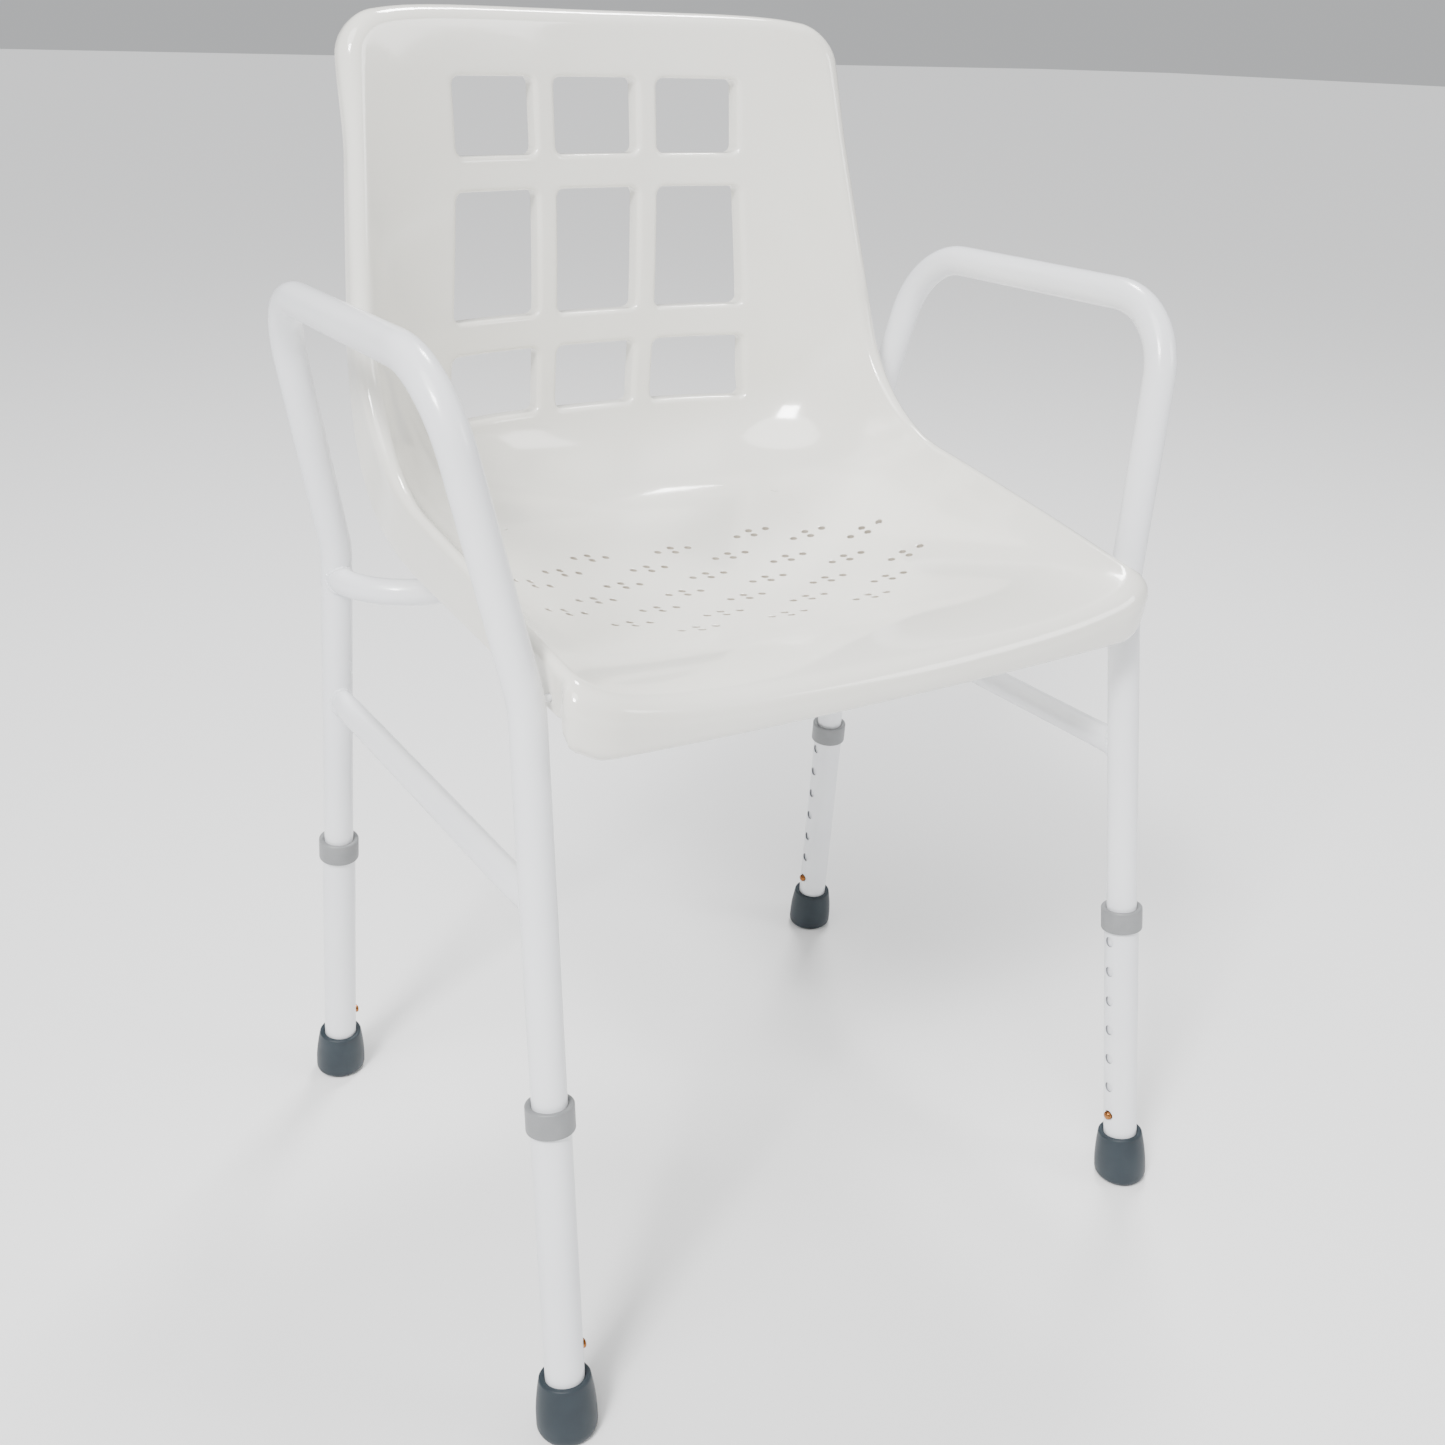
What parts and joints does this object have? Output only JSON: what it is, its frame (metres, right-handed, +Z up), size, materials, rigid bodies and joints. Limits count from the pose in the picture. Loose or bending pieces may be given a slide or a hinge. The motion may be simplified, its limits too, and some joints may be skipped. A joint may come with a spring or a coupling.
{
  "type": "shower chair",
  "caption": "Height-adjustable shower chair: one-piece moulded seat and back with windows, bent-tube frame with armrests, telescopic push-button legs and rubber tips.",
  "frame": {"origin": "on the floor, under the middle of the four feet, with the legs at their shortest setting", "axes": "+Z up; the sitter faces -Y; +X to the sitter's left"},
  "size_m": [0.551, 0.4784, 0.8351],
  "materials": {
    "shell_plastic": "gloss",
    "frame_coating": "gloss powder coat",
    "sleeve_coating": "gloss powder coat",
    "collar_plastic": "satin",
    "tip_rubber": "satin",
    "button_copper": "polished",
    "fastener_steel": "zinc plated"
  },
  "bodies": {
    "frame": {"seat_shell": "shell_plastic", "side_frame_left": "frame_coating", "side_frame_right": "frame_coating", "side_rail_left": "frame_coating", "side_rail_right": "frame_coating", "rear_cross_tube": "frame_coating", "saddle_clip_left": "fastener_steel", "saddle_clip_right": "fastener_steel", "seat_screw_left_a": "fastener_steel", "seat_screw_left_b": "fastener_steel", "seat_screw_right_a": "fastener_steel", "seat_screw_right_b": "fastener_steel", "seat_bolt_left": "fastener_steel", "seat_bolt_right": "fastener_steel", "spring_clip_front_left": "button_copper", "spring_clip_front_right": "button_copper", "spring_clip_rear_left": "button_copper", "spring_clip_rear_right": "button_copper"},
    "leg_front_left": {"leg_sleeve_front_left": "sleeve_coating", "leg_collar_front_left": "collar_plastic", "foot_tip_front_left": "tip_rubber", "tip_washer_front_left": "fastener_steel"},
    "button_front_left": {"snap_button_front_left": "button_copper", "spring_arm_front_left": "button_copper"},
    "leg_front_right": {"leg_sleeve_front_right": "sleeve_coating", "leg_collar_front_right": "collar_plastic", "foot_tip_front_right": "tip_rubber", "tip_washer_front_right": "fastener_steel"},
    "button_front_right": {"snap_button_front_right": "button_copper", "spring_arm_front_right": "button_copper"},
    "leg_rear_left": {"leg_sleeve_rear_left": "sleeve_coating", "leg_collar_rear_left": "collar_plastic", "foot_tip_rear_left": "tip_rubber", "tip_washer_rear_left": "fastener_steel"},
    "button_rear_left": {"snap_button_rear_left": "button_copper", "spring_arm_rear_left": "button_copper"},
    "leg_rear_right": {"leg_sleeve_rear_right": "sleeve_coating", "leg_collar_rear_right": "collar_plastic", "foot_tip_rear_right": "tip_rubber", "tip_washer_rear_right": "fastener_steel"},
    "button_rear_right": {"snap_button_rear_right": "button_copper", "spring_arm_rear_right": "button_copper"}
  },
  "joints": [
    {"name": "front_left_leg_slide", "type": "slide", "parent": "frame", "child": "leg_front_left", "axis": [0.0321, -0.1367, -0.9901], "range_m": [0, 0.15]},
    {"name": "front_left_button_press", "type": "slide", "parent": "frame", "child": "button_front_left", "axis": [0.9995, 0.0044, 0.0318], "range_m": [0, 0.0045], "stiffness_N_per_m": 900},
    {"name": "front_right_leg_slide", "type": "slide", "parent": "frame", "child": "leg_front_right", "axis": [-0.0321, -0.1367, -0.9901], "range_m": [0, 0.15]},
    {"name": "front_right_button_press", "type": "slide", "parent": "frame", "child": "button_front_right", "axis": [-0.9995, 0.0044, 0.0318], "range_m": [0, 0.0045], "stiffness_N_per_m": 900},
    {"name": "rear_left_leg_slide", "type": "slide", "parent": "frame", "child": "leg_rear_left", "axis": [0.0322, 0.1091, -0.9935], "range_m": [0, 0.15]},
    {"name": "rear_left_button_press", "type": "slide", "parent": "frame", "child": "button_rear_left", "axis": [0.9995, -0.0035, 0.032], "range_m": [0, 0.0045], "stiffness_N_per_m": 900},
    {"name": "rear_right_leg_slide", "type": "slide", "parent": "frame", "child": "leg_rear_right", "axis": [-0.0322, 0.1091, -0.9935], "range_m": [0, 0.15]},
    {"name": "rear_right_button_press", "type": "slide", "parent": "frame", "child": "button_rear_right", "axis": [-0.9995, -0.0035, 0.032], "range_m": [0, 0.0045], "stiffness_N_per_m": 900}
  ]
}
